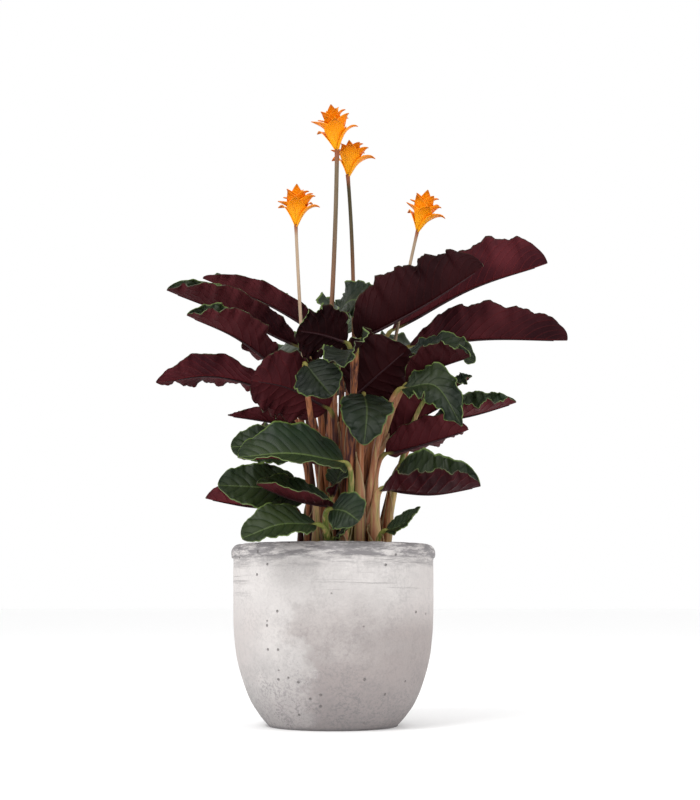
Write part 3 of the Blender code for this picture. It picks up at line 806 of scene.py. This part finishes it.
def stem(leaf, look, material):
    """A leaf's stem, from the soil up to its knee, then on under the blade as the midrib."""
    path, girth = stem_path(leaf), leaf.root_radius * look.stem_girth
    centres, radii, heights = [], [], []
    for i in range(STEM_STEPS + 1):
        t = i / STEM_STEPS
        centres.append(bezier(path, t))
        swell = 0.35 * math.exp(-((t - 0.93) / 0.06) ** 2)
        radii.append(NECK_RADIUS + (girth - NECK_RADIUS) * (1.0 - t ** 1.6) + swell)
        heights.append(t)
    for i in range(1, MIDRIB_STEPS + 1):
        share = i / MIDRIB_STEPS
        t = MIDRIB_REACH * share
        _, top = leaf.frame(t)
        radius = 1.45 - 1.1 * share ** 0.8
        centres.append(along(leaf.points, t) - top * (0.8 + radius) * min(1.0, 0.4 + i / 5))
        radii.append(radius)
        heights.append(1.0 + share)
    bm = bmesh.new()
    tube(bm, centres, radii, 12, {"along": heights, "tone": [leaf.stem_tone] * len(heights)})
    bmesh.ops.recalc_face_normals(bm, faces=bm.faces[:])
    return keep(bm, leaf.name + "_stem", [material])


def sheath(leaf, look, material):
    """The papery foot of a leaf's stem: a split sleeve that wraps the stem and narrows to a point."""
    path = stem_path(leaf)
    seed = leaf.letters * 0.61
    reach = 0.42 + 0.16 * math.sin(seed)

    def place(u, v):
        side = 2.0 * v - 1.0
        wrap = math.radians(165.0) * (1.0 - u ** 3) + 0.12
        turn = seed * 2.1 + side * wrap
        girth = leaf.root_radius * look.stem_girth * (1.12 - 0.16 * u)
        radius = girth + 0.5 + 0.9 * abs(side) ** 4 * (0.4 + u)
        ridge = 0.22 * math.sin(turn * 9.0 + seed)
        return bezier(path, u * reach) + Vector((math.cos(turn), math.sin(turn), 0.0)) * (radius + ridge)

    bm = bmesh.new()
    tint = (leaf.stem_tone + 0.18 * math.sin(seed * 3)) % 1.0
    sheet(bm, 20, 22, place, {"tone": tint, "fringe": lambda u, v: max(abs(2.0 * v - 1.0), u * u)})
    bmesh.ops.recalc_face_normals(bm, faces=bm.faces[:])
    piece = keep(bm, leaf.name + "_sheath", [material])
    thicken(piece, SHEATH_THICKNESS)
    return piece


def stand_in(piece, node):
    """Lets a finished piece take the place of a plain solid."""
    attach(piece, "root")
    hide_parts(node)


def build_leaves(group, look):
    """The leaves whose names start with this word, each in place of its plain solid."""
    skins = [
        shared("leaf_top", leaf_top_finish, look),
        shared("leaf_underside", leaf_underside_finish, look),
        shared("leaf_margin", margin_finish, look),
    ]
    stem_skin = shared("leaf_stem", stem_finish, look)
    sheath_skin = shared("leaf_sheath", sheath_finish, look)
    for leaf in map(Leaf, LEAVES):
        if not leaf.name.startswith("leaf_" + group):
            continue
        pieces = [blade(leaf, look, skins), stem(leaf, look, stem_skin)]
        if leaf.points[0].z - leaf.root.z > SHORTEST_SHEATHED_STEM:
            pieces.append(sheath(leaf, look, sheath_skin))
        for piece in pieces:
            stand_in(piece, leaf.name)


def flower_stalk(name, root_xy, low, foot, radius, tone, material):
    """A slender stalk from the soil, past the point where it leaves the clump, into the foot of its head."""
    root = Vector((*root_xy, SOIL_TOP - ROOT_DEPTH))
    path = [root, root.lerp(low, 0.5), low, foot + (foot - low).normalized() * STALK_OVERLAP]
    heights = [i / STALK_STEPS for i in range(STALK_STEPS + 1)]
    centres = [bezier(path, t) for t in heights]
    radii = [radius * (1.25 - 0.25 * t) + 0.3 * math.exp(-((t - 1.0) / 0.02) ** 2) for t in heights]
    bm = bmesh.new()
    tube(bm, centres, radii, 14, {"along": heights, "tone": [tone] * len(heights)})
    bmesh.ops.recalc_face_normals(bm, faces=bm.faces[:])
    stand_in(keep(bm, f"flower_stalk_{name}_skin", [material]), f"flower_stalk_{name}")


def bract(bm, spine, radial, tangent, axis, half, turn):
    """A pointed bract along its spine, hollowed towards the head's middle."""

    def place(u, v):
        side = 2.0 * v - 1.0
        step = min(int(u * BRACT_STEPS), BRACT_STEPS - 1)
        point = spine[step].lerp(spine[step + 1], u * BRACT_STEPS - step)
        width = half * min(1.0, 0.16 + 1.5 * u) * (1.0 - max(0.0, (u - 0.55) / 0.45) ** 1.3) + 0.12
        inward = side * side * width * 0.55 * (1.0 - 0.8 * u)
        crimp = 0.9 * math.sin(9.0 * u + turn) * abs(side) * u
        return point + tangent * side * width - radial * inward + axis * crimp

    sheet(bm, BRACT_STEPS, 10, place)


def flower_head(name, foot, crown, widest, look, material):
    """A funnel of overlapping bracts whose pointed tips bend outwards, closing to a tuft at the top."""
    axis = crown - foot
    length = axis.length
    axis = axis.normalized()
    right = (Vector((1.0, 0.0, 0.0)) - axis * axis.x).normalized()
    ahead = axis.cross(right)
    rng = random.Random(name)
    bm = bmesh.new()
    for i in range(look.bracts):
        s = i / (look.bracts - 1)
        turn = BRACT_TURN * i + rng.uniform(-0.2, 0.2)
        radial = right * math.cos(turn) + ahead * math.sin(turn)
        reach = (widest * 1.75 * (1.0 - s) + length * 0.54 * s) * rng.uniform(0.92, 1.06)
        lean = math.radians(23.0 - 17.0 * s)
        bend = math.radians(92.0 - 36.0 * s + rng.uniform(-10, 14))
        spine = [foot + axis * (length * (0.02 + 0.44 * s)) + radial * 1.0]
        for k in range(BRACT_STEPS):
            tilt = lean + bend * ((k + 0.5) / BRACT_STEPS) ** 2.8
            spine.append(spine[-1] + (radial * math.sin(tilt) + axis * math.cos(tilt)) * reach / BRACT_STEPS)
        bract(bm, spine, radial, axis.cross(radial), axis, widest * (0.52 - 0.18 * s), turn)
    bmesh.ops.recalc_face_normals(bm, faces=bm.faces[:])
    piece = keep(bm, f"flower_head_{name}_bracts", [material])
    thicken(piece, BRACT_THICKNESS).offset = 0.0
    stand_in(piece, f"flower_head_{name}")


def wall_radius(height):
    """The pot's inner radius at this height."""
    for (r0, z0), (r1, z1) in zip(POT_OUTLINE, POT_OUTLINE[1:]):
        if z0 <= height <= z1:
            return r0 + (r1 - r0) * (height - z0) / (z1 - z0) - POT_WALL
    return POT_OUTLINE[0][0] - POT_WALL


def turned(name, outline, segments, materials, shift):
    """A solid of revolution about the Z axis from its outline in mm, each point moved by shift(point)."""
    bm = bmesh.new()
    verts = [bm.verts.new((r, 0.0, z)) for r, z in outline]
    edges = [bm.edges.new(pair) for pair in zip(verts, verts[1:])]
    bmesh.ops.spin(
        bm, geom=verts + edges, cent=(0, 0, 0), axis=(0, 0, 1),
        angle=2 * math.pi, steps=segments, use_merge=True)
    bmesh.ops.remove_doubles(bm, verts=bm.verts[:], dist=0.01)
    bmesh.ops.recalc_face_normals(bm, faces=bm.faces[:])
    for vert in bm.verts:
        vert.co += shift(vert.co)
    return keep(bm, name, materials)


def rounded(outline, each):
    """The same outline with each step split into short ones along a smooth curve."""
    points = [Vector((r, 0.0, z)) for r, z in outline]
    last = len(points) - 1
    dense = [along(points, i / (last * each)) for i in range(last * each + 1)]
    return [(p.x, p.z) for p in dense]


def crumb_pile(count, material):
    """Loose crumbs scattered over the soil."""
    rng = random.Random(7)
    bm = bmesh.new()
    for _ in range(count):
        turn, reach = rng.uniform(0, 2 * math.pi), CRUMBS_REACH * math.sqrt(rng.random())
        size = rng.uniform(0.7, 2.1)
        made = bmesh.ops.create_icosphere(bm, subdivisions=1, radius=size)["verts"]
        sunk = 1.2 if reach > 58 else 0.0
        base = Vector((math.cos(turn) * reach, math.sin(turn) * reach, SOIL_TOP - sunk))
        for vert in made:
            vert.co.z *= 0.7
            dent = Vector((rng.uniform(-1, 1), rng.uniform(-1, 1), rng.uniform(-1, 1)))
            vert.co += dent * size * 0.22 + base
    return keep(bm, "soil_crumbs", [material], smooth=False)


# Settings, in the order of the panel


def colour_prop(name, description, value):
    return bpy.props.FloatVectorProperty(
        name=name, description=description, default=value, subtype="COLOR", min=0.0, max=1.0)


class CALATHEA_PG_leaves(bpy.types.PropertyGroup):
    ripple: bpy.props.FloatProperty(
        name="Margin waves", description="Height of the waves along the margins, as a share of the usual",
        default=1.0, min=0.0, max=2.0, subtype="FACTOR")
    quilt_mm: bpy.props.FloatProperty(
        name="Quilting", description="How far the blade swells between its side veins, in millimetres",
        default=0.7, min=0.0, max=3.0)
    rib_spacing_mm: bpy.props.FloatProperty(
        name="Vein spacing", description="Distance between side veins along the midrib, in millimetres",
        default=9.0, min=4.0, max=20.0)
    thickness_mm: bpy.props.FloatProperty(
        name="Blade thickness", description="Thickness of a leaf blade, in millimetres",
        default=0.6, min=0.3, max=1.5)
    stem_girth: bpy.props.FloatProperty(
        name="Stem girth", description="Girth of the leaf stems at the soil, as a share of the plain ones",
        default=1.15, min=0.8, max=1.6, subtype="FACTOR")
    top_roughness: bpy.props.FloatProperty(
        name="Top roughness", description="Roughness of the blades' tops",
        default=0.36, min=0.1, max=0.9, subtype="FACTOR")
    under_roughness: bpy.props.FloatProperty(
        name="Underside roughness", description="Roughness of the blades' undersides",
        default=0.6, min=0.1, max=0.9, subtype="FACTOR")
    stem_roughness: bpy.props.FloatProperty(
        name="Stem roughness", description="Roughness of the leaf stems",
        default=0.5, min=0.1, max=0.9, subtype="FACTOR")
    top_dark: colour_prop("Top, dark", "Darkest green of the blades' tops", (0.005, 0.012, 0.005))
    top_mid: colour_prop("Top, middle", "Usual green of the blades' tops", (0.014, 0.028, 0.010))
    top_light: colour_prop("Top, light", "Lightest green of the blades' tops", (0.034, 0.050, 0.014))
    top_vein: colour_prop("Top, veins", "Green over the side veins", (0.004, 0.014, 0.006))
    midrib_top: colour_prop("Midrib", "Line over the midrib on the top", (0.09, 0.13, 0.04))
    margin: colour_prop("Margin", "Thin edge of the blades", (0.10, 0.15, 0.035))
    under_dark: colour_prop("Underside, dark", "Darkest wine of the undersides", (0.020, 0.003, 0.005))
    under_mid: colour_prop("Underside, middle", "Usual wine of the undersides", (0.056, 0.009, 0.012))
    under_light: colour_prop("Underside, light", "Lightest wine of the undersides", (0.105, 0.018, 0.022))
    under_vein: colour_prop("Underside, veins", "Veins and midrib of the undersides", (0.100, 0.012, 0.014))
    under_margin: colour_prop("Underside, edge", "Edge of the undersides", (0.030, 0.020, 0.010))
    stem_wine: colour_prop("Stem, wine", "Darkest stems", (0.045, 0.012, 0.012))
    stem_orange: colour_prop("Stem, orange brown", "Orange-brown stems", (0.30, 0.105, 0.04))
    stem_pink: colour_prop("Stem, pink", "Pinkish stems", (0.36, 0.16, 0.09))
    stem_beige: colour_prop("Stem, beige", "Beige stems", (0.44, 0.30, 0.13))
    stem_olive: colour_prop("Stem, olive", "Olive stems", (0.13, 0.16, 0.035))
    stem_pale: colour_prop("Sheath edge", "Papery edge of the sheaths", (0.36, 0.28, 0.16))
    knee: colour_prop("Knee", "Swollen knee below a blade", (0.16, 0.17, 0.035))


class CALATHEA_PG_flowers(bpy.types.PropertyGroup):
    bracts: bpy.props.IntProperty(
        name="Bracts", description="Number of bracts in each head", default=17, min=8, max=60)
    bract_foot: colour_prop("Bract foot", "Yellow orange at the foot of a bract", (0.98, 0.38, 0.004))
    bract_middle: colour_prop("Bract middle", "Orange of a bract", (0.95, 0.29, 0.002))
    bract_tip: colour_prop("Bract tip", "Deep orange at the tip of a bract", (0.74, 0.15, 0.002))
    stalk_pale: colour_prop("Stalk, pale", "Pale pinkish stalks", (0.40, 0.29, 0.20))
    stalk_dark: colour_prop("Stalk, dark", "Olive-brown stalks", (0.045, 0.036, 0.014))
    stalk_brown: colour_prop("Stalk, brown", "Middle of the darker stalks", (0.20, 0.085, 0.045))
    # Painted shade on the lower part of the stalks, where they stand among the leaves.
    stalk_leaf_shade: colour_prop("Stalk foot", "Lower part of the stalks, among the leaves", (0.06, 0.022, 0.014))
    stalk_neck: colour_prop("Stalk neck", "Red brown just under a head", (0.22, 0.07, 0.03))


class CALATHEA_PG_pot(bpy.types.PropertyGroup):
    segments: bpy.props.IntProperty(
        name="Segments", description="Faces around the pot", default=160, min=32, max=256)
    unevenness_mm: bpy.props.FloatProperty(
        name="Unevenness", description="How far the cast surface wanders, in millimetres",
        default=0.35, min=0.0, max=1.5)
    pot_pale: colour_prop("Pale", "Usual pale grey", (0.53, 0.50, 0.485))
    pot_grey: colour_prop("Grey", "Cooler grey clouds", (0.34, 0.32, 0.312))
    pot_warm: colour_prop("Warm", "Pinkish-grey clouds", (0.36, 0.305, 0.292))
    # Also painted light on the pot's left side.
    pot_bloom_and_light: colour_prop("White", "Fine pale bloom", (0.64, 0.61, 0.595))
    # Painted shade: the darker grey low on the front and right, the side away from the light.
    pot_right_shade: colour_prop("Stain", "Damp stain on the lower front and right", (0.31, 0.272, 0.262))
    pot_grit: colour_prop("Grit", "Fine darker mottling", (0.25, 0.232, 0.228))
    # Also the painted contact shade along the foot.
    pot_dark_and_foot_shade: colour_prop("Dark", "Worn lip, scratches and foot", (0.17, 0.16, 0.165))
    pot_hole: colour_prop("Pinholes", "Bottom of the pinholes", (0.13, 0.12, 0.115))


class CALATHEA_PG_soil(bpy.types.PropertyGroup):
    crumbs: bpy.props.IntProperty(
        name="Crumbs", description="Loose crumbs on the soil", default=320, min=0, max=900)
    soil_dark: colour_prop("Dark", "Damp peat", (0.012, 0.008, 0.005))
    soil_light: colour_prop("Light", "Dry peat", (0.055, 0.034, 0.020))
    soil_fibre: colour_prop("Fibre", "Pale fibres", (0.14, 0.09, 0.05))


class CALATHEA_PG_studio(bpy.types.PropertyGroup):
    floor_width: bpy.props.FloatProperty(
        name="Floor width", description="Side of the floor", default=40.0, min=1.0, unit="LENGTH")
    world_light: bpy.props.FloatProperty(
        name="Surrounding light", description="Strength of the light from all round", default=1.0, min=0.0)
    key_power: bpy.props.FloatProperty(
        name="Key light", description="Power of the large light at the upper left",
        default=22.0, min=0.0, unit="POWER")
    fill_power: bpy.props.FloatProperty(
        name="Fill light", description="Power of the light at the right", default=7.0, min=0.0, unit="POWER")


# Operators: one for each piece or group of like pieces


class CALATHEA_OT_right_leaves(bpy.types.Operator):
    """Build the leaves on the plant's right"""

    bl_idname = "calathea.right_leaves"
    bl_label = "Right leaves"

    def execute(self, context):
        build_leaves("right", context.scene.calathea_leaves)
        return {"FINISHED"}


class CALATHEA_OT_left_leaves(bpy.types.Operator):
    """Build the leaves on the plant's left"""

    bl_idname = "calathea.left_leaves"
    bl_label = "Left leaves"

    def execute(self, context):
        build_leaves("left", context.scene.calathea_leaves)
        return {"FINISHED"}


class CALATHEA_OT_front_leaves(bpy.types.Operator):
    """Build the low leaves in front"""

    bl_idname = "calathea.front_leaves"
    bl_label = "Front leaves"

    def execute(self, context):
        build_leaves("front", context.scene.calathea_leaves)
        return {"FINISHED"}


class CALATHEA_OT_centre_leaves(bpy.types.Operator):
    """Build the leaves in the middle of the clump"""

    bl_idname = "calathea.centre_leaves"
    bl_label = "Centre leaves"

    def execute(self, context):
        build_leaves("centre", context.scene.calathea_leaves)
        return {"FINISHED"}


class CALATHEA_OT_back_leaves(bpy.types.Operator):
    """Build the leaves behind the clump"""

    bl_idname = "calathea.back_leaves"
    bl_label = "Back leaves"

    def execute(self, context):
        build_leaves("back", context.scene.calathea_leaves)
        return {"FINISHED"}


class CALATHEA_OT_flowers(bpy.types.Operator):
    """Build the flower stalks and their orange heads"""

    bl_idname = "calathea.flowers"
    bl_label = "Flowers"

    def execute(self, context):
        look = context.scene.calathea_flowers
        stalks = shared("stalk_skin", stalk_finish, look)
        bracts = shared("bract", bract_finish, look)
        for name, root, low, foot, crown, widest, radius, tone in FLOWERS:
            flower_stalk(name, root, spot(*low), spot(*foot), radius, tone, stalks)
            flower_head(name, spot(*foot), spot(*crown), widest, look, bracts)
        return {"FINISHED"}


class CALATHEA_OT_pot(bpy.types.Operator):
    """Build the cast concrete-look pot"""

    bl_idname = "calathea.pot"
    bl_label = "Pot"

    def execute(self, context):
        look = context.scene.calathea_pot
        foot = [(0.0, 0.0), (26.0, 0.0), (50.0, 0.0)]
        inside = [(wall_radius(z), z) for _, z in reversed(POT_OUTLINE) if POT_FLOOR < z <= POT_LIP_FOOT]
        wall = rounded(POT_OUTLINE, 6) + rounded([POT_OUTLINE[-1], *inside], 4)[1:]
        floor = [(wall_radius(POT_FLOOR) - 2.0, POT_FLOOR), (0.0, POT_FLOOR)]

        def shift(point):
            out = Vector((point.x, point.y, 0.0))
            if out.length < 30.0 or point.z < 1.0:
                return Vector()
            wander = noise.noise(point * 0.03) + 0.5 * noise.noise(point * 0.11)
            chip = max(0.0, noise.noise(point * 0.16) - 0.28) * 2.4 if point.z > 136.0 else 0.0
            bulge = out.normalized() * look.unevenness_mm * (wander - 0.3)
            return bulge - Vector((0.0, 0.0, chip)) * look.unevenness_mm * 2

        skin = shared("pot_concrete", pot_finish, look)
        stand_in(turned("pot_wall", foot + wall + floor, look.segments, [skin], shift), "pot")
        return {"FINISHED"}


class CALATHEA_OT_soil(bpy.types.Operator):
    """Build the potting soil with its loose crumbs"""

    bl_idname = "calathea.soil"
    bl_label = "Soil"

    def execute(self, context):
        look = context.scene.calathea_soil
        material = shared("potting_soil", soil_finish, look)
        heights = [z for _, z in POT_OUTLINE if POT_FLOOR < z < SOIL_TOP]
        wall = [(wall_radius(z) - SOIL_CLEARANCE, z) for z in heights]
        foot = POT_FLOOR + SOIL_CLEARANCE
        edge = wall_radius(SOIL_TOP - SOIL_MOUND) - SOIL_CLEARANCE
        rings = range(SOIL_STEPS + 1)
        top = [(edge * (1 - i / SOIL_STEPS), SOIL_TOP - SOIL_MOUND * max(0.0, 1 - i / 9)) for i in rings]
        outline = [(0.0, foot), (wall_radius(foot) - 2.5, foot), *wall, *top]

        def shift(point):
            if point.z < SOIL_TOP - SOIL_MOUND - 1.0 or Vector((point.x, point.y)).length > edge - 1.5:
                return Vector()
            lump = 1.3 * noise.noise(point * 0.09) + 0.9 * noise.noise(point * 0.3)
            return Vector((0.0, 0.0, lump))

        bed = turned("soil_bed", outline, SOIL_SEGMENTS, [material], shift)
        for piece in (bed, crumb_pile(look.crumbs, material)):
            stand_in(piece, "soil")
        return {"FINISHED"}


def area_light(name, place, power, size):
    """A square light at this place, in metres, turned towards the plant."""
    light = bpy.data.lights.new(name, "AREA")
    light.energy = power
    light.size = size
    lamp = bpy.data.objects.new(name, light)
    lamp.location = place
    lamp.rotation_euler = (PLANT_MIDDLE - place).to_track_quat("-Z", "Y").to_euler()
    bpy.context.scene.collection.objects.link(lamp)


class CALATHEA_OT_studio(bpy.types.Operator):
    """Set up the pale floor, the soft lights and the camera"""

    bl_idname = "calathea.studio"
    bl_label = "Studio"

    def execute(self, context):
        look = context.scene.calathea_studio
        scene = context.scene
        bm = bmesh.new()
        bmesh.ops.create_grid(bm, x_segments=1, y_segments=1, size=look.floor_width / 2)
        mesh = bpy.data.meshes.new("floor")
        bm.to_mesh(mesh)
        bm.free()
        material, _, shader = finish("floor_paint", 0.7)
        shader.inputs["Base Color"].default_value = (0.97, 0.97, 0.97, 1.0)
        mesh.materials.append(material)
        floor = bpy.data.objects.new("floor", mesh)
        scene.collection.objects.link(floor)
        world = bpy.data.worlds.new("studio")
        world.use_nodes = True
        backdrop = world.node_tree.nodes["Background"]
        backdrop.inputs["Color"].default_value = (1.0, 1.0, 1.0, 1.0)
        backdrop.inputs["Strength"].default_value = look.world_light
        scene.world = world
        area_light("key_light", Vector((-0.9, -1.2, 1.5)), look.key_power, 0.9)
        area_light("fill_light", Vector((1.3, -0.7, 0.9)), look.fill_power, 0.8)
        camera = bpy.data.cameras.new("photo_view")
        camera.sensor_width = SENSOR_MM
        camera.lens = FOCAL_PX / FRAME_HEIGHT_PX * SENSOR_MM
        view = bpy.data.objects.new("photo_view", camera)
        view.location = EYE * MM
        view.rotation_euler = (math.pi / 2 + EYE_TILT, 0.0, 0.0)
        scene.collection.objects.link(view)
        scene.camera = view
        scene.view_settings.view_transform = "Standard"
        return {"FINISHED"}


class CALATHEA_PT_panel(bpy.types.Panel):
    bl_idname = "CALATHEA_PT_panel"
    bl_label = "Potted Calathea"
    bl_space_type = "VIEW_3D"
    bl_region_type = "UI"
    bl_category = "Calathea"

    def draw(self, context):
        for operator in OPERATORS:
            self.layout.operator(operator.bl_idname)
        for group in GROUPS:
            self.layout.label(text=group.replace("_", " ").capitalize())
            settings = getattr(context.scene, group)
            for prop in GROUPS[group].__annotations__:
                self.layout.prop(settings, prop)


GROUPS = {
    "calathea_leaves": CALATHEA_PG_leaves,
    "calathea_flowers": CALATHEA_PG_flowers,
    "calathea_pot": CALATHEA_PG_pot,
    "calathea_soil": CALATHEA_PG_soil,
    "calathea_studio": CALATHEA_PG_studio,
}
OPERATORS = (
    CALATHEA_OT_studio,
    CALATHEA_OT_pot,
    CALATHEA_OT_soil,
    CALATHEA_OT_right_leaves,
    CALATHEA_OT_left_leaves,
    CALATHEA_OT_front_leaves,
    CALATHEA_OT_centre_leaves,
    CALATHEA_OT_back_leaves,
    CALATHEA_OT_flowers,
)


def register():
    for group in GROUPS.values():
        bpy.utils.register_class(group)
    for name, group in GROUPS.items():
        setattr(bpy.types.Scene, name, bpy.props.PointerProperty(type=group))
    for operator in OPERATORS:
        bpy.utils.register_class(operator)
    bpy.utils.register_class(CALATHEA_PT_panel)


def unregister():
    bpy.utils.unregister_class(CALATHEA_PT_panel)
    for operator in reversed(OPERATORS):
        bpy.utils.unregister_class(operator)
    for name in GROUPS:
        delattr(bpy.types.Scene, name)
    for group in reversed(GROUPS.values()):
        bpy.utils.unregister_class(group)


def main():
    register()
    bpy.ops.calathea.studio()
    bpy.ops.calathea.pot()
    bpy.ops.calathea.soil()
    bpy.ops.calathea.right_leaves()
    bpy.ops.calathea.left_leaves()
    bpy.ops.calathea.front_leaves()
    bpy.ops.calathea.centre_leaves()
    bpy.ops.calathea.back_leaves()
    bpy.ops.calathea.flowers()


if __name__ == "__main__":
    main()
